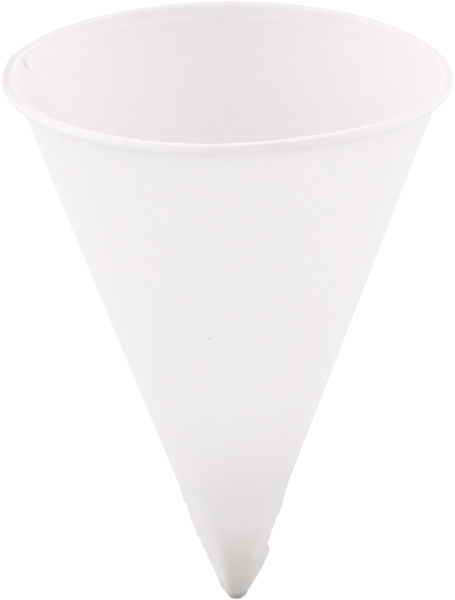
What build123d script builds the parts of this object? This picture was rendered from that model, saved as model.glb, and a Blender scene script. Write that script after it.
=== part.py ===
"""Cone paper cup, wound from one sheet of paper, lying on its side as it comes to rest.

The sheet runs from the rolled brim down the wall and its glued side lap to a tightly
wound nose. A place on it is given by two lengths: how far along the wall, from the point
where the wall's line meets the axis, and how far out from the wall's outer face.
Azimuths turn about the cup's axis, from +X on the right towards the floor at 90 degrees.
"""

import os
from math import asin, atan2, cos, degrees, hypot, radians, sin, tan

from build123d import *

# Sheet and wall
paper = 0.25
wall_angle = radians(20.14)

# Brim: a roll of full radius, then the sheet's edge turned in tighter inside it
brim_diameter = 73.0
bead_diameter = 1.9
tuck_diameter = 1.2
roll_turn = 240.0
tuck_turn = 140.0

# Side lap: a second layer outside the wall, and the bead a little fuller over it
lap_width = 7.0
lap_azimuth = 168.4
lap_bead_shift = 0.13
lap_bead_growth = 0.07
lap_bead_turn = 285.0

# Lower cut edge of the outer turn, a slanting ring round the nose
edge_height = 21.5
edge_slant = radians(24.0)
edge_azimuth = -78.0

# Nose: wound layers that lift the outer turn off the wall's line, closed by a crimped end
nose_standout = 0.34
nose_flare = 4.0
tip_height = 4.0
tip_round = 1.3
cavity_height = 13.4
cavity_end_radius = 1.2

# Fold: the nose's last turn, which stands off on the right
fold_top = 13.8
fold_middle = 9.2
fold_low = 5.0
fold_standoff = 1.15
fold_inset = 0.27
fold_taper = 0.85

# Flat spot where the brim bears on the floor
flat_length = 8.0

# Roll and wall, worked out from the sizes above
bead_radius = bead_diameter / 2
roll_radius = bead_radius - paper
tuck_radius = tuck_diameter / 2
bead_circle = brim_diameter / 2 - bead_radius
bead_height = (bead_circle - roll_radius / cos(wall_angle)) / tan(wall_angle)
wall_length = (bead_height + roll_radius * sin(wall_angle)) / cos(wall_angle)
up_wall = (sin(wall_angle), cos(wall_angle))
down_wall = (-sin(wall_angle), -cos(wall_angle))

# Reach of the slanting edge along the wall, at the front and at the back
edge_front = edge_height * cos(edge_slant) / cos(wall_angle - edge_slant)
edge_back = edge_height * cos(edge_slant) / cos(wall_angle + edge_slant)
edge_low = (edge_front + fold_top) / 2
nose_start = edge_back + paper
nose_shoulder = nose_start - nose_flare
cavity_start = nose_start + 4 * paper
shoulder_height = tip_height + tip_round
shoulder_circle = shoulder_height * tan(wall_angle) + (nose_standout - tip_round) / cos(wall_angle)
shoulder_along = shoulder_height * cos(wall_angle) + shoulder_circle * sin(wall_angle)

# The floor touches the flattened brim and the rounded tip, which sets how the cup lies
flat_depth = flat_length**2 / (4 * brim_diameter)
reach_out = bead_circle - shoulder_circle
reach_up = bead_height - shoulder_height
lie_angle = atan2(reach_out, reach_up) + asin(
    (bead_radius - flat_depth - tip_round) / hypot(reach_out, reach_up)
)
lowest = shoulder_height * sin(lie_angle) - shoulder_circle * cos(lie_angle) - tip_round
brim_end = bead_height * cos(lie_angle) + bead_circle * sin(lie_angle) + bead_radius
tip_end = shoulder_height * cos(lie_angle) - shoulder_circle * sin(lie_angle) - tip_round
apex = (0, -(brim_end + tip_end) / 2, -lowest)
cup_plane = Plane(origin=apex, x_dir=(1, 0, 0), z_dir=(0, cos(lie_angle), sin(lie_angle)))


def on_sheet(along, out):
    """Place in a half section, from its lengths along the wall and out from the wall."""
    return (
        along * sin(wall_angle) + out * cos(wall_angle),
        along * cos(wall_angle) - out * sin(wall_angle),
    )


def round_roll(radius, turned, shift=0.0):
    """Place at a radius from the roll's centre, turned on from the roll's start at the wall."""
    return on_sheet(
        wall_length + radius * sin(radians(turned)),
        roll_radius + shift - radius * cos(radians(turned)),
    )


def towards(azimuth):
    """Direction square to the cup's axis, at an azimuth."""
    return cup_plane.x_dir * cos(radians(azimuth)) + cup_plane.y_dir * sin(radians(azimuth))


def half_section(azimuth, shift=0.0):
    """Plane of the half section at an azimuth, with the radius along X and the height along Y."""
    origin = cup_plane.from_local_coords((shift, 0, 0))
    return Plane(origin=origin, x_dir=towards(azimuth), z_dir=towards(azimuth - 90))


def axis_at(shift=0.0):
    """Axis along the cup, set off towards azimuth 0."""
    return Axis(cup_plane.from_local_coords((shift, 0, 0)), cup_plane.z_dir)


# Lower end of the outer turn, pushed out over the nose and cut off on a slant
edge_plane = Plane(
    origin=cup_plane.from_local_coords((0, 0, edge_height)),
    z_dir=cup_plane.z_dir * cos(edge_slant) + towards(edge_azimuth) * sin(edge_slant),
)
with BuildPart() as outer_turn:
    with BuildSketch(half_section(0)):
        Polygon(
            on_sheet(nose_start, 0),
            on_sheet(nose_shoulder, nose_standout + paper),
            on_sheet(edge_low, nose_standout + paper),
            on_sheet(edge_low, nose_standout - paper / 2),
            on_sheet(nose_shoulder, nose_standout - paper / 2),
            on_sheet(nose_start, -paper * 3 / 2),
            align=None,
        )
    revolve(axis=axis_at())
    split(bisect_by=edge_plane, keep=Keep.TOP)

# Side lap down the wall, kept between two planes so that its width stays the same
with BuildPart() as side_lap:
    with BuildSketch(half_section(0)):
        Polygon(
            on_sheet(wall_length, paper),
            on_sheet(nose_start, paper),
            on_sheet(nose_shoulder, nose_standout + 2 * paper),
            on_sheet(edge_low, nose_standout + 2 * paper),
            on_sheet(edge_low, nose_standout + paper / 2),
            on_sheet(nose_shoulder, nose_standout + paper / 2),
            on_sheet(nose_start, -paper / 2),
            on_sheet(wall_length, -paper / 2),
            align=None,
        )
    revolve(axis=axis_at())
    with BuildSketch(half_section(lap_azimuth)):
        Rectangle(brim_diameter, 2 * wall_length, align=(Align.MIN, Align.CENTER))
    extrude(amount=lap_width / 2, both=True, mode=Mode.INTERSECT)
    split(bisect_by=edge_plane, keep=Keep.TOP)

# Bead over the lap, where both layers are rolled together
with BuildPart() as lap_bead:
    lap_half_turn = degrees(lap_width / brim_diameter)
    fuller_radius = bead_radius + lap_bead_growth
    middle_radius = bead_radius - paper / 2
    with BuildSketch(half_section(lap_azimuth - lap_half_turn)):
        with BuildLine():
            outer_arc = ThreePointArc(
                round_roll(fuller_radius, 0, lap_bead_shift),
                round_roll(fuller_radius, lap_bead_turn / 2, lap_bead_shift),
                round_roll(fuller_radius, lap_bead_turn, lap_bead_shift),
            )
            inner_arc = ThreePointArc(
                round_roll(middle_radius, 0),
                round_roll(middle_radius, lap_bead_turn / 2),
                round_roll(middle_radius, lap_bead_turn),
            )
            Line(outer_arc @ 0, inner_arc @ 0)
            Line(outer_arc @ 1, inner_arc @ 1)
        make_face()
    revolve(axis=axis_at(), revolution_arc=2 * lap_half_turn)

# Fold of the nose, turned about an axis set off to the right so that it thins out to each side
with BuildPart() as nose_fold:
    with BuildSketch(half_section(-95, fold_standoff)):
        Polygon(
            (0, on_sheet(fold_top, 0)[1]),
            on_sheet(fold_top, nose_standout - fold_inset),
            on_sheet(fold_middle, nose_standout - fold_inset),
            on_sheet(fold_low, nose_standout - fold_inset - fold_taper),
            (0, on_sheet(fold_low, 0)[1]),
            align=None,
        )
    revolve(axis=axis_at(fold_standoff), revolution_arc=190)

# Underside of the roll, pressed flat where the brim bears on the floor
with BuildPart() as pressed_flat:
    with BuildSketch(half_section(90)):
        with Locations((bead_circle, bead_height)):
            Circle(middle_radius)
    revolve(axis=axis_at())
    with BuildSketch(Plane.XY) as flat_area:
        with Locations((0, apex[1] + brim_end)):
            Rectangle(2 * flat_length, 2 * flat_length)
    extrude(amount=paper, mode=Mode.INTERSECT)

# The cup: brim, wall and nose are one section turned about the axis, and the rest joins them
with BuildPart() as cone_cup:
    with BuildSketch(half_section(0)):
        with BuildLine():
            roll_inside = JernArc(on_sheet(wall_length, 0), up_wall, roll_radius, -roll_turn)
            tuck_inside = JernArc(roll_inside @ 1, roll_inside % 1, tuck_radius - paper, -tuck_turn)
            roll_outside = JernArc(on_sheet(wall_length, -paper), up_wall, bead_radius, -roll_turn)
            tuck_outside = JernArc(roll_outside @ 1, roll_outside % 1, tuck_radius, -tuck_turn)
            Line(tuck_inside @ 1, tuck_outside @ 1)
            outer_face = Polyline(
                roll_inside @ 0,
                on_sheet(nose_start, 0),
                on_sheet(nose_start, -paper),
                on_sheet(nose_shoulder, nose_standout),
                on_sheet(shoulder_along, nose_standout),
            )
            tip_arc = JernArc(outer_face @ 1, down_wall, tip_round, degrees(wall_angle) - 90)
            Polyline(
                tip_arc @ 1,
                (0, tip_height),
                (0, cavity_height),
                (cavity_end_radius, cavity_height),
                on_sheet(cavity_start, -paper),
                roll_outside @ 0,
            )
        make_face()
    revolve(axis=axis_at())
    add(outer_turn.part)
    add(side_lap.part)
    add(lap_bead.part)
    add(nose_fold.part)
    extrude(flat_area.sketch, amount=-bead_diameter, mode=Mode.SUBTRACT)
    add(pressed_flat.part)

cone_cup.part.label = "cone_cup"
os.makedirs("parts", exist_ok=True)
export_step(cone_cup.part, "parts/cone_cup.step")
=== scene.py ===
"""Cone paper cup lying on its side: one sheet of white paper, wound, glued and rolled at the brim.

A place on the paper has a turn about the cup's axis in degrees, a length along the wall from
the point of the cone, and a distance out from the wall's outer face, both in mm. The turns
count on as the sheet winds round, and turn 90 is the side on the floor.
"""

import bmesh
import bpy
import numpy as np
from mathutils import Matrix, Vector


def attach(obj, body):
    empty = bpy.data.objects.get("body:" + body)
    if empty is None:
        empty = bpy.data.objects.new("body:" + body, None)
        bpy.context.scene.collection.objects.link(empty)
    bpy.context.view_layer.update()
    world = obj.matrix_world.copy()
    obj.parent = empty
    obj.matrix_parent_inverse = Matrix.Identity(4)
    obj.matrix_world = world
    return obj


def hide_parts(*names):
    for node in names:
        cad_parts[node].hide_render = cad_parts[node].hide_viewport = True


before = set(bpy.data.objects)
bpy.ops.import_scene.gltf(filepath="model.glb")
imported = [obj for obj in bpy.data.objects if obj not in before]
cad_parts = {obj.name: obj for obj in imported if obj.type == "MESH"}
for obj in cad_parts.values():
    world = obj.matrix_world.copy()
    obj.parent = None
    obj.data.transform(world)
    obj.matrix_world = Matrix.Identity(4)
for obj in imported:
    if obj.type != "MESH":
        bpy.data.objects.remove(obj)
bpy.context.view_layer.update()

# The sheet: one cut piece of uncoated white paper, wound about a turn and a half into a cone and
# glued along its lap. Its inner cut edge shows inside the mouth, and its outer cut edge runs up
# round the back. The rim is rolled outwards, over the lap too, and then turned in on itself.
mm = 0.001
paper = 0.25
wall_angle = np.radians(20.14)
lie_angle = np.radians(20.7907)
apex = np.array([0.0, -52.8095, 0.28])
wall_length = 101.34
sheet_length = 106.0
winding_pitch = 0.26
flush_turn = -60.0

# Roll at the brim: its reach out from the wall, the turns of its two parts, of which the tuck is
# the tighter one, and the mean radii by which they take up paper
roll_reach = 1.515
tuck_share = 0.576
roll_turn = 240.0
tuck_turn = 140.0
mean_roll_radius = 0.825
mean_tuck_radius = 0.475

# Nose: the lengths along the wall between which the sheet lifts over it, and by how much
nose_start = 27.5
nose_full = 19.0
nose_lift = 0.6

# Cut edges: how far each one's straight line passes from the point of the cone on the flat
# sheet, the degrees there for each degree of turn, and where the lines start. Above the length
# sheared_from the grid slants with them, and the slant reaches some way into the sheet
inner_offset = 30.0
outer_offset = 19.65
inner_share = 0.3443
outer_share = 0.316
front_turn = -75.0
inner_corner = 163.5
corner_along = 101.8
corner_angle = np.degrees(np.arccos(inner_offset / corner_along))
first_turn = -409.5
sheared_from = 60.0
start_slant_reach = 95.0
end_slant_from = 60.0

# Waves of the brim, each with its height in mm, its middle and its width in degrees
brim_waves = ((-0.70, 12.0, 40.0), (0.40, -68.0, 26.0), (0.06, 108.0, 25.0), (-0.10, -135.0, 30.0))


def rise(value, start, end):
    """Smooth rise from 0 at start to 1 at end, and flat beyond: x squared times (3 - 2x), with
    x the share of the way. With an end below the start it rises as the value falls."""
    share = np.clip((value - start) / (end - start), 0.0, 1.0)
    return share * share * (3.0 - 2.0 * share)


def bell(value, middle, width):
    """Bell curve of height 1: e to the minus square of the distance over the width."""
    return np.exp(-(((value - middle) / width) ** 2))


def place(turn, along, out):
    """Point in the row frame, in metres, from a place on the paper.

    The radius is along times the sine of the wall angle plus out times its cosine, and the
    height up the cup's axis is along times the cosine less out times the sine. The axis
    rises from the floor by the lie angle.
    """
    radius = along * np.sin(wall_angle) + out * np.cos(wall_angle)
    height = along * np.cos(wall_angle) - out * np.sin(wall_angle)
    across = radius * np.cos(np.radians(turn))
    down = radius * np.sin(np.radians(turn))
    y = height * np.cos(lie_angle) + down * np.sin(lie_angle)
    z = height * np.sin(lie_angle) - down * np.cos(lie_angle)
    return mm * (np.stack([across, y, z], axis=-1) + apex)


def winding(turn):
    """Middle of the sheet, out from the wall's outer face: a spiral that moves out by the
    pitch in every full turn, with its outer face flush with the wall's at one turn."""
    return -paper / 2 + winding_pitch * (turn - flush_turn) / 360.0


def nose_swell(along):
    """Lift of the sheet over the wound nose: it rises over the flare and sinks to the tip."""
    return nose_lift * rise(along, nose_start, nose_full) - 0.3 * rise(along, 15.0, 5.0)


def inner_cut(along):
    """Turn of the inner cut edge, which is straight on the flat sheet: its angle there is the
    arc cosine of its offset over the length, counted from its corner at the brim."""
    swung = np.degrees(np.arccos(inner_offset / np.maximum(along, inner_offset)))
    return inner_corner - 360.0 - (corner_angle - swung) / inner_share


def outer_cut(along):
    """Turn of the outer cut edge, by the same rule, counted from its lowest place in front."""
    return front_turn + np.degrees(np.arccos(outer_offset / along)) / outer_share


def brim_wave(turn):
    """Lengthwise lift of the brim in mm, for it isn't quite flat: a sum of bell curves, each
    by the shortest way round the brim."""
    lift = np.zeros_like(turn)
    for height, middle, width in brim_waves:
        away = (turn - middle + 180.0) % 360.0 - 180.0
        lift = lift + height * bell(away, 0.0, width)
    return lift


def corner_lift(past):
    """Extra reach of the roll, by the degrees past the inner cut edge: the corner of the cut
    stands out for 3 degrees and drops within the next 3, and the rest sinks with the square."""
    return 0.24 * rise(past, 5.8, 3.2) + 0.08 * np.clip(1.0 - past / 16.5, 0.0, 1.0) ** 2


def lower_edge(turn):
    """Length along the wall at which the sheet ends below, for each turn. From the front on it
    is the outer cut, the offset over the cosine of its angle on the flat sheet, with a hump
    of 0.6 mm that dies out up the back. To the left of the front it rises by nearly 5 mm
    and levels off, and the inner layer's edge before that is a parabola."""
    past = np.clip(turn - front_turn, 0.0, 225.0)
    right = outer_offset / np.cos(np.radians(outer_share * past))
    right += (1.0 - np.exp(-past / 14.0)) * np.exp(-past / 90.0) * rise(past, 175.0, 95.0)
    before = np.sqrt(np.clip(front_turn - turn, 0.0, None) ** 2 + 64.0) - 8.0
    left = outer_offset + 6.0 * (1.0 - np.exp(-before / 70.0))
    inner = 17.3 + 7.12 * ((turn + 369.0) / 172.5) ** 2
    return np.where(turn > front_turn, right, np.where(turn > inner_corner - 360.0, left, inner))


# The sheet's grid: rows run from the lower edge to the rim and round its roll, and columns follow
# both cut edges near the brim. The first columns are the start of the innermost turn, which the
# inner cut ends below the brim, so that nothing is kept of them above it
start_turn = inner_cut(sheet_length)
end_turn = outer_cut(sheet_length)
first_shear = inner_cut(sheared_from) - start_turn
last_shear = outer_cut(sheared_from) - end_turn
first_columns = np.linspace(first_turn - first_shear, start_turn, 110)[:-1]
columns = np.concatenate([first_columns, np.linspace(start_turn, end_turn, 372)])
near_start = rise(columns, start_turn + start_slant_reach, start_turn)
near_end = rise(columns, end_slant_from, end_turn)
low_turn = columns + near_start * first_shear + near_end * last_shear
low_end = np.minimum(lower_edge(low_turn), sheared_from)
swung = corner_angle - inner_share * (inner_corner - 360.0 - low_turn)
swung = np.clip(swung, 0.0, np.degrees(np.arccos(inner_offset / sheared_from)))
high_end = np.where(columns < start_turn, inner_offset / np.cos(np.radians(swung)), sheared_from)

low_rows = np.linspace(0.0, 1.0, 31) ** 1.5
middle_rows = np.linspace(sheared_from, 98.0, 13)[1:]
wall_rows = np.concatenate([middle_rows, np.linspace(98.0, wall_length, 11)[1:]])
roll_rows = np.linspace(0.0, roll_turn, 35)[1:]
turned = np.concatenate([roll_rows, np.linspace(roll_turn, roll_turn + tuck_turn, 19)[1:]])
roll_used = mean_roll_radius * np.radians(np.minimum(turned, roll_turn))
tuck_used = mean_tuck_radius * np.radians(np.maximum(turned - roll_turn, 0.0))
high_rows = np.concatenate([wall_rows, wall_length + roll_used + tuck_used])

low_along = low_end + low_rows[:, None] * (high_end - low_end)
along = np.concatenate([low_along, np.repeat(high_rows[:, None], len(columns), axis=1)])
held = np.maximum(along, sheared_from)
turn = columns + near_start * (inner_cut(held) - start_turn) + near_end * (outer_cut(held) - end_turn)
row_curl = np.concatenate([np.zeros(len(low_rows) + len(wall_rows)), turned])
curl = np.repeat(row_curl[:, None], len(columns), axis=1)
on_wall = curl <= 0.0

# The roll: its reach is held to the brim's size and let out at the cut corner of the inner end.
# The outer end swells just before that corner, and past it lies inside the inner end's roll
sheet_out = winding(turn)
past = turn - inner_corner
swell = 0.17 * rise(past, -9.0, -2.0) * rise(past, 0.5, -2.0)
drawn_in = np.where(past > 0.0, np.maximum(0.27 - corner_lift(past), 0.0), 0.0)
reach = roll_reach + np.where(turn < 0.0, corner_lift(past + 360.0), swell - drawn_in)
roll_radius = (reach - sheet_out) / 2
tuck_radius = tuck_share * roll_radius
in_tuck = curl > roll_turn
shift = np.where(in_tuck, roll_radius - tuck_radius, 0.0)
bend = np.where(in_tuck, tuck_radius, roll_radius)
roll_angle = np.radians(np.minimum(curl, roll_turn))
curl_angle = np.radians(curl)
rolled_along = wall_length + shift * np.sin(roll_angle) + bend * np.sin(curl_angle)
rolled_out = sheet_out + roll_radius - shift * np.cos(roll_angle) - bend * np.cos(curl_angle)

# The wall: creased under the roll, bulged and rippled a little, and lifted over the nose
crease = -0.05 * bell(along, 99.4, 0.35)
bulge = np.sin(np.pi * np.clip((along - 32.0) / 67.0, 0.0, 1.0))
ripple = 0.11 * bulge + 0.035 * bulge * np.sin(np.radians(3.0 * turn + 40.0))
wall_out = sheet_out + crease + ripple + nose_swell(along)

# Both faces lie half a thickness from the middle of the sheet, square to it
middle_along = np.where(on_wall, along, rolled_along)
middle_out = np.where(on_wall, wall_out, rolled_out)
half_along = -np.sin(curl_angle) * paper / 2
half_out = np.cos(curl_angle) * paper / 2
outer_face = place(turn, middle_along + half_along, middle_out + half_out)
inner_face = place(turn, middle_along - half_along, middle_out - half_out)
wave = mm * brim_wave(turn) * rise(middle_along, 72.0, 100.0)
outer_face[..., 1] += wave
inner_face[..., 1] += wave

# The brim lies on the floor: there the outside of the roll, which is the sheet's inner face, is
# pressed flat, and its hollow side stays one paper higher up to where the sheet turns back up
turned_up = curl >= 200.0
inner_z, outer_z = inner_face[..., 2], outer_face[..., 2]
inner_face[..., 2] = np.where(on_wall, inner_z, np.maximum(inner_z, 0.0))
outer_face[..., 2] = np.where(on_wall | turned_up, outer_z, np.maximum(outer_z, mm * paper))


def paper_mesh(name, points, faces, glue_and_painted_shade):
    """Object of the given faces, smooth except over the cut edges, with its attribute of glue grey
    and painted shade. Points that fall together are made one, so that no face is without an area."""
    mesh = bpy.data.meshes.new(name)
    mesh.from_pydata(points.tolist(), [], faces)
    attribute = mesh.attributes.new("glue_and_painted_shade", "FLOAT", "POINT")
    attribute.data.foreach_set("value", glue_and_painted_shade.astype(np.float32))
    merged = bmesh.new()
    merged.from_mesh(mesh)
    bmesh.ops.remove_doubles(merged, verts=merged.verts, dist=1e-8)
    merged.to_mesh(mesh)
    merged.free()
    mesh.polygons.foreach_set("use_smooth", np.ones(len(mesh.polygons), dtype=bool))
    mesh.set_sharp_from_angle(angle=np.radians(38.0))
    mesh.update()
    piece = bpy.data.objects.new(name, mesh)
    bpy.context.scene.collection.objects.link(piece)
    return piece


def shell_faces(kept):
    """Faces of a closed shell from two grids of points, one for each side of the paper. The
    kept squares of the grid are made on both sides, and a narrow strip joins the two along
    every edge that only one kept square has."""
    rows, across = kept.shape[0] + 1, kept.shape[1] + 1
    grid = np.arange(rows * across).reshape(rows, across)
    corners = (grid[:-1, :-1], grid[:-1, 1:], grid[1:, 1:], grid[1:, :-1])
    outside = np.stack([corner[kept] for corner in corners], axis=1)
    edges = np.concatenate([outside[:, [i, (i + 1) % 4]] for i in range(4)])
    ordered = np.sort(edges, axis=1)
    _, which, times = np.unique(ordered, axis=0, return_inverse=True, return_counts=True)
    border = edges[times[which.ravel()] == 1]
    joining = np.concatenate([border[:, ::-1], border + rows * across], axis=1)
    return np.concatenate([outside, outside[:, ::-1] + rows * across, joining])


def paper_finish(name, white, glued, cloud, fleck, marks):
    """Matt paper: white, clouded and flecked by soft noise, darkened towards glued by the
    piece's own attribute of glue grey and painted shade and at each mark, with a fibre grain for
    its bump. A mark has its middle and its radius in metres, and its depth, and fades out with the
    distance."""
    finish = bpy.data.materials.new(name)
    finish.use_nodes = True
    nodes, links = finish.node_tree.nodes, finish.node_tree.links
    shader = nodes["Principled BSDF"]
    shader.inputs["Roughness"].default_value = 0.82
    shader.inputs["Specular IOR Level"].default_value = 0.3
    shader.inputs["Subsurface Weight"].default_value = 0.25
    shader.inputs["Subsurface Radius"].default_value = (0.9, 0.85, 0.8)
    shader.inputs["Subsurface Scale"].default_value = 0.0004
    position = nodes.new("ShaderNodeTexCoord").outputs["Object"]

    def noise(scale, detail, vector):
        """Soft noise, with its scale in features for each metre."""
        field = nodes.new("ShaderNodeTexNoise")
        field.inputs["Scale"].default_value = scale
        field.inputs["Detail"].default_value = detail
        links.new(vector, field.inputs["Vector"])
        return field.outputs["Fac"]

    def mapped(value, low, high, to_low, to_high, smooth="LINEAR"):
        """Value carried from the range low to high into the range to_low to to_high."""
        spread = nodes.new("ShaderNodeMapRange")
        spread.interpolation_type = smooth
        spread.inputs["From Min"].default_value = low
        spread.inputs["From Max"].default_value = high
        spread.inputs["To Min"].default_value = to_low
        spread.inputs["To Max"].default_value = to_high
        links.new(value, spread.inputs["Value"])
        return spread.outputs["Result"]

    def product(one, other):
        """The two values multiplied."""
        multiply = nodes.new("ShaderNodeMath")
        multiply.operation = "MULTIPLY"
        links.new(one, multiply.inputs[0])
        links.new(other, multiply.inputs[1])
        return multiply.outputs[0]

    clouds = mapped(noise(700.0, 5.0, position), 0.3, 0.7, 1.0 - cloud, 1.0)
    flecks = mapped(noise(4200.0, 2.0, position), 0.3, 0.7, 1.0 - fleck, 1.0)
    level = product(clouds, flecks)
    for middle, radius, depth in marks:
        away = nodes.new("ShaderNodeVectorMath")
        away.operation = "DISTANCE"
        links.new(position, away.inputs[0])
        away.inputs[1].default_value = middle
        level = product(level, mapped(away.outputs["Value"], 0.0, radius, 1.0 - depth, 1.0, "SMOOTHSTEP"))

    # How far the paper goes towards the glued grey: the glue's own grey, and painted shade
    glue_and_painted_shade = nodes.new("ShaderNodeAttribute")
    glue_and_painted_shade.attribute_name = "glue_and_painted_shade"
    glue_and_shade_mix = nodes.new("ShaderNodeMix")
    glue_and_shade_mix.data_type = "RGBA"
    glue_and_shade_mix.inputs["A"].default_value = (*white, 1.0)
    glue_and_shade_mix.inputs["B"].default_value = (*glued, 1.0)
    links.new(glue_and_painted_shade.outputs["Fac"], glue_and_shade_mix.inputs["Factor"])
    tone = nodes.new("ShaderNodeVectorMath")
    tone.operation = "SCALE"
    links.new(glue_and_shade_mix.outputs["Result"], tone.inputs[0])
    links.new(level, tone.inputs["Scale"])
    links.new(tone.outputs["Vector"], shader.inputs["Base Color"])

    stretch = nodes.new("ShaderNodeMapping")
    stretch.inputs["Scale"].default_value = (1.0, 0.45, 1.0)
    links.new(position, stretch.inputs["Vector"])
    grain = nodes.new("ShaderNodeBump")
    grain.inputs["Strength"].default_value = 0.12
    grain.inputs["Distance"].default_value = 0.00006
    links.new(noise(2600.0, 3.0, stretch.outputs["Vector"]), grain.inputs["Height"])
    links.new(grain.outputs["Normal"], shader.inputs["Normal"])
    return finish


# Shades of the roll, from 0 for white paper to 1 for glued. They paint in the photo's soft shadows,
# which the plain light here doesn't give: over the roll's crest, a little lighter in front and
# darker at its left end, and in front also on its face and below
azimuth = turn % 360.0
crest_depth = 0.17 - 0.06 * np.clip(-np.sin(np.radians(turn)), 0.0, 1.0)
crest_shade = crest_depth * rise(curl, 15.0, 50.0) * bell(np.maximum(curl, 100.0), 100.0, 22.0)
left_end_shade = 0.12 * bell(azimuth, 178.0, 25.0) * rise(curl, 30.0, 70.0)
front_shade = 0.14 * bell(curl, 124.0, 28.0) + 0.1 * rise(curl, 100.0, 130.0)
rolled_shade = crest_shade + left_end_shade + bell(azimuth, 278.0, 35.0) * front_shade

# Shades of the wall: it darkens towards the glued nose, partly the glue's own grey and partly
# painted shade, less so on the left, and painted shade lies along both flanks and inside the mouth
# on the side that lies on the floor
low_shade = 0.19 - 0.09 * bell(azimuth, 215.0, 35.0)
flanks = bell(azimuth, 316.0, 24.0) + 0.8 * bell(azimuth, 224.0, 24.0)
flank_shade = (0.028 + 0.022 * rise(along, 80.0, 40.0)) * flanks
flank_shade = flank_shade * rise(along, 106.0, 90.0) * rise(along, 24.0, 44.0)
outer_shade = low_shade * rise(along, 46.0, 22.0) + flank_shade * on_wall + rolled_shade
mouth_shade = 0.15 * bell(azimuth, 92.0, 45.0) * np.clip((along - 80.0) / 20.0, 0.0, 1.0)
inner_shade = outer_shade + mouth_shade * rise(curl, 60.0, 15.0)

kept = np.ones((len(along) - 1, len(columns) - 1), dtype=bool)
kept[len(low_rows) - 1:, : len(first_columns)] = False
sheet_faces = shell_faces(kept)
used, numbered = np.unique(sheet_faces, return_inverse=True)
sheet_points = np.concatenate([outer_face.reshape(-1, 3), inner_face.reshape(-1, 3)])[used]
sheet_glue_and_painted_shade = np.concatenate([outer_shade.ravel(), inner_shade.ravel()])[used]
sheet = paper_mesh("wound_sheet", sheet_points, numbered.reshape(sheet_faces.shape).tolist(), sheet_glue_and_painted_shade)

# Two marks on the paper: a nick at the inner cut edge under the rim, its dark a painted shadow
# of the small gap where the cut edge lifts, as spots in a row, each with its turn, its length
# along the wall and its depth, and a small speck on the front
nick_shadow = (
    (163.6, 101.1, 0.07),
    (164.0, 100.5, 0.16),
    (164.1, 99.85, 0.13),
    (162.5, 99.5, 0.1),
    (161.9, 98.4, 0.06),
)
nick_out = -0.35
nick_radius = 0.0009
speck_spot = (-99.24, 61.56, 0.08)
speck_radius = 0.00032
speck_depth = 0.4
marks = [(place(side, length, nick_out).tolist(), nick_radius, depth) for side, length, depth in nick_shadow]
marks.append((place(*speck_spot).tolist(), speck_radius, speck_depth))
# The paper's white, and the grey towards which both the glue and the painted shade darken it
white = (0.925, 0.9, 0.897)
glued = (0.3, 0.28, 0.25)
white_paper = paper_finish("white_paper", white, glued, cloud=0.016, fleck=0.02, marks=marks)
sheet.data.materials.append(white_paper)
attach(sheet, "root")
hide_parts("cone_cup")

# The nose: the sheet's inner turns, wound tight, glued and pressed together, and crimped to a
# blunt end. Its last turn stands off on the right, and inside the cut edges step down.
glue_gap = 0.01
seam_azimuth = -48.0
tip_height = 4.3
tip_radius = 1.05
tip_dent = 0.12
tip_lean = 0.35
pit_height = 11.6
well_height = 13.4
well_radius = 1.2
well_top = 28.6
well_turns = 13


def nose_skin(azimuth, along):
    """Outer face of the nose, out from the wall: it lies under the sheet, lifts in a fold on
    the right, highest under its lip, hollows where it was squashed at the front, is slimmer
    on the left and worn at its end. Each of these is a height times smooth rises round the
    nose and along it, and left goes from 0 on the right to 1 on the left as a cosine."""
    skin = winding(azimuth - 360.0) - paper / 2 - glue_gap + nose_swell(along)
    begins = seam_azimuth + 20.0 * rise(along, 14.5, 8.5)
    fold = 0.32 * rise(along, 17.8, 16.6) + 0.78 * rise(along, 14.6, 13.8)
    fold = fold * (0.1 + 0.9 * rise(along, 3.4, 10.2))
    fold = fold * (0.12 * rise(azimuth, begins, begins + 9.0) + 0.88 * rise(azimuth, begins, begins + 34.0))
    fold = fold * rise(azimuth, 80.0, 10.0)
    hollow = -0.32 * rise(np.abs(azimuth - 281.0), 37.2, 6.2)
    hollow = hollow * rise(along, 16.5, 12.5) * rise(along, 4.0, 8.0)
    left = 0.5 - 0.5 * np.cos(np.radians(azimuth))
    slim = -0.16 * left**3 * rise(along, 17.5, 14.0) * rise(along, 6.5, 9.0)
    worn = -0.6 * left * rise(along, 6.8, 4.4) - 0.45 * (1.0 - left) ** 2 * rise(along, 6.5, 5.0)
    return skin + fold + hollow + slim + worn


def section_point(radius, height):
    """Lengths along and out for a point given by its radius and its height on the axis."""
    return (
        radius * np.sin(wall_angle) + height * np.cos(wall_angle),
        radius * np.cos(wall_angle) - height * np.sin(wall_angle),
    )


# Inside: a small pit, then the well's wall, which steps out at each turn's cut edge
across = np.linspace(seam_azimuth, seam_azimuth + 360.0, 271)[None, :]
pit_radii = np.array([[0.35], [0.5], [0.55], [0.9]])
pit_heights = np.array([[pit_height], [11.8], [13.1], [13.3]])
pit_along, pit_out = section_point(pit_radii, pit_heights)
well_rows = np.linspace(0.0, 1.0, 105)[:, None]
count = well_turns * well_rows + across / 360.0
stair = (np.floor(count) + rise(count % 1.0, 0.78, 0.98) - across / 360.0) / well_turns
bottom_along, bottom_out = section_point(well_radius, well_height)
top_out = winding(across - 360.0) - 3 * paper / 2 - glue_gap
well_along = bottom_along + (well_top - bottom_along) * well_rows
well_out = bottom_out + (top_out - bottom_out) * np.clip(stair, 0.0, 1.0)

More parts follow.
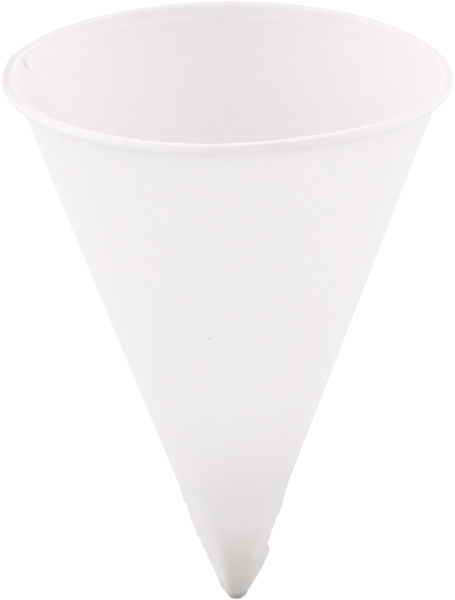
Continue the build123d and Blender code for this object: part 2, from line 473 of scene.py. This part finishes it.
# Outside: down the skin to the shoulder, then round the tip, which is dented a little in its
# middle and leans a little to the right
fold_rows = np.linspace(17.8, 13.4, 26)
skin_rows = np.concatenate([np.linspace(well_top, 18.2, 14), fold_rows, np.linspace(12.9, 5.9, 20)])
skin_along = skin_rows[:, None]
skin_out = nose_skin(across, skin_along)
round_turn = np.linspace(0.0, 1.0, 12)[1:, None] * np.pi / 2
end_along, end_out = section_point(tip_radius, tip_height)
tip_along = skin_along[-1] + (end_along - skin_along[-1]) * np.sin(round_turn)
tip_out = end_out + (skin_out[-1] - end_out) * np.cos(round_turn) ** 1.5
last_height = tip_height + tip_dent
last_along, last_out = section_point(np.array([[0.3]]), last_height)

nose_along = np.concatenate([pit_along, well_along, skin_along, tip_along, last_along]) + 0.0 * across
outs = (pit_out, well_out, skin_out, tip_out, last_out)
nose_out = np.concatenate([out + 0.0 * across for out in outs])
nose_grid = place(across, nose_along, nose_out)[:, :-1]
nose_grid[..., 0] += mm * tip_lean * rise(nose_along[:, :-1], 8.0, 4.0)
poles = place(np.zeros(2), *section_point(np.zeros(2), np.array([pit_height, last_height])))
nose_points = np.concatenate([nose_grid.reshape(-1, 3), poles])

# Faces: a ring of squares between every two rows, and a fan of triangles at each pole
rows, around = nose_grid.shape[:2]
grid = np.arange(rows * around).reshape(rows, around)
ring = np.roll(grid, -1, axis=1)
squares = np.stack([grid[:-1], grid[1:], ring[1:], ring[:-1]], axis=-1).reshape(-1, 4)
first = np.full(around, rows * around)
first_fan = np.stack([first, grid[0], ring[0]], axis=-1)
last_fan = np.stack([first + 1, ring[-1], grid[-1]], axis=-1)
nose_faces = squares.tolist() + first_fan.tolist() + last_fan.tolist()

# Shades of the nose, by the length along the wall, partly the glue's own grey and partly painted
# shade: the squashed front is darkest, the left side is lightest, and the right side begins about
# where the fold does. The pit inside and the end of the tip are dark too
around_front = np.where(across < 100.0, across + 360.0, across)
fold_begins = seam_azimuth + 360.0 + 26.0 * rise(nose_along, 14.5, 8.5)
to_left = rise(around_front, 264.0, 230.0)
to_right = rise(around_front, fold_begins - 14.0, fold_begins + 6.0)
shade_rows = [4.6, 6.0, 9.7, 13.3, 17.0, 20.0]
front_side = np.interp(nose_along, shade_rows, [1.0, 0.6, 0.45, 0.4, 0.31, 0.21])
left_side = np.interp(nose_along, shade_rows, [0.9, 0.38, 0.17, 0.16, 0.13, 0.13])
right_side = np.interp(nose_along, shade_rows, [1.0, 0.5, 0.34, 0.29, 0.22, 0.2])
nose_shade = front_side + to_left * (left_side - front_side) + to_right * (right_side - front_side)
pit_shade, tip_shade = 0.8, 1.0
nose_glue_and_painted_shade = np.concatenate([nose_shade[:, :-1].ravel(), [pit_shade, tip_shade]])
nose = paper_mesh("wound_nose", nose_points, nose_faces, nose_glue_and_painted_shade)
nose.data.materials.append(white_paper)
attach(nose, "root")
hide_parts("cone_cup")

# The floor: a plain white table, matt, wide enough to fill the picture. It takes the cup's soft
# shadow, and glows a little for the camera alone so that it shows white round the cup.
floor_reach = 3.0
floor_glow = 0.3


def seen_level(nodes, links, lighting, seen):
    """Strength that is the level lighting for the rays that light things, and the level seen
    for the rays by which the camera sees: its own, reflected and let through."""
    rays = nodes.new("ShaderNodeLightPath")
    value = rays.outputs["Is Camera Ray"]
    for kind in ("Is Glossy Ray", "Is Transmission Ray"):
        either = nodes.new("ShaderNodeMath")
        either.operation = "MAXIMUM"
        links.new(value, either.inputs[0])
        links.new(rays.outputs[kind], either.inputs[1])
        value = either.outputs[0]
    strength = nodes.new("ShaderNodeMapRange")
    strength.inputs["To Min"].default_value = lighting
    strength.inputs["To Max"].default_value = seen
    links.new(value, strength.inputs["Value"])
    return strength.outputs["Result"]


corner_signs = ((-1, -1), (1, -1), (1, 1), (-1, 1))
floor_corners = [(x * floor_reach, y * floor_reach, 0.0) for x, y in corner_signs]
floor_mesh = bpy.data.meshes.new("floor")
floor_mesh.from_pydata(floor_corners, [], [(0, 1, 2, 3)])
floor = bpy.data.objects.new("floor", floor_mesh)
bpy.context.scene.collection.objects.link(floor)
floor_finish = bpy.data.materials.new("white_table")
floor_finish.use_nodes = True
nodes, links = floor_finish.node_tree.nodes, floor_finish.node_tree.links
table = nodes["Principled BSDF"]
table.inputs["Base Color"].default_value = (0.93, 0.93, 0.93, 1.0)
table.inputs["Roughness"].default_value = 0.9
table.inputs["Emission Color"].default_value = (1.0, 1.0, 1.0, 1.0)
links.new(seen_level(nodes, links, 0.0, floor_glow), table.inputs["Emission Strength"])
floor.data.materials.append(floor_finish)

# The room: even white light from all round the table, at the level that shades the cup as the
# photo does, and plain white where the camera sees past the table.
room_light = 0.902
world = bpy.data.worlds.new("room")
bpy.context.scene.world = world
world.use_nodes = True
nodes, links = world.node_tree.nodes, world.node_tree.links
room = nodes["Background"]
room.inputs["Color"].default_value = (1.0, 1.0, 1.0, 1.0)
links.new(seen_level(nodes, links, room_light, 1.0), room.inputs["Strength"])

# Three weak soft boxes, turned to the cup: one to each side of the brim, the left one lower, and
# one before the mouth. Each has its name, its place in metres and its power in watts.
soft_box_size = 0.6
lit_spot = Vector((0.0, 0.0, 0.02))
soft_boxes = (
    ("left_soft_box", (-0.7, 0.3, 0.33), 0.77),
    ("right_soft_box", (0.58, 0.3, 0.43), 0.64),
    ("mouth_soft_box", (-0.06, 0.8, 0.5), 0.95),
)
for name, spot, power in soft_boxes:
    lamp = bpy.data.lights.new(name, "AREA")
    lamp.shape = "SQUARE"
    lamp.size = soft_box_size
    lamp.energy = power
    box = bpy.data.objects.new(name, lamp)
    facing = (lit_spot - Vector(spot)).to_track_quat("-Z", "Y")
    box.matrix_world = Matrix.Translation(spot) @ facing.to_matrix().to_4x4()
    bpy.context.scene.collection.objects.link(box)

# The camera: far off and straight above, with a long lens, as the photo looks into the mouth.
# It points so that the place aimed at falls on its own pixel, across and down the picture.
picture_width = 455.0
picture_height = 600.0
aim_across = 231.274
aim_down = 351.504
pixels_per_mm = 6.1265
aim = np.array([0.0, -8.42, 17.13]) * mm
camera_height = 1.5
view_angle = np.radians(20.83)
picture_roll = np.radians(0.74)
sensor = 36.0

tilt = view_angle - lie_angle
forward = np.array([0.0, -np.sin(tilt), -np.cos(tilt)])
upward = np.array([0.0, np.cos(tilt), -np.sin(tilt)])
right = np.array([1.0, 0.0, 0.0])
image_right = np.cos(picture_roll) * right - np.sin(picture_roll) * upward
image_up = np.sin(picture_roll) * right + np.cos(picture_roll) * upward
spot = aim - camera_height * forward
focal = pixels_per_mm * camera_height / mm
centre = forward + image_right * (picture_width / 2 - aim_across) / focal
centre = centre + image_up * (aim_down - picture_height / 2) / focal
centre = centre / np.linalg.norm(centre)
image_up = image_up - centre * (image_up @ centre)
image_up = image_up / np.linalg.norm(image_up)
image_right = np.cross(centre, image_up)
camera = bpy.data.cameras.new("camera")
camera.sensor_width = sensor
camera.lens = focal * sensor / picture_height
camera.clip_start = 0.05
camera.clip_end = 20.0
viewer = bpy.data.objects.new("camera", camera)
axes = np.stack([image_right, image_up, -centre], axis=1)
viewer.matrix_world = Matrix.Translation(spot.tolist()) @ Matrix(axes.tolist()).to_4x4()
bpy.context.scene.collection.objects.link(viewer)
bpy.context.scene.camera = viewer
bpy.context.scene.view_settings.view_transform = "Standard"
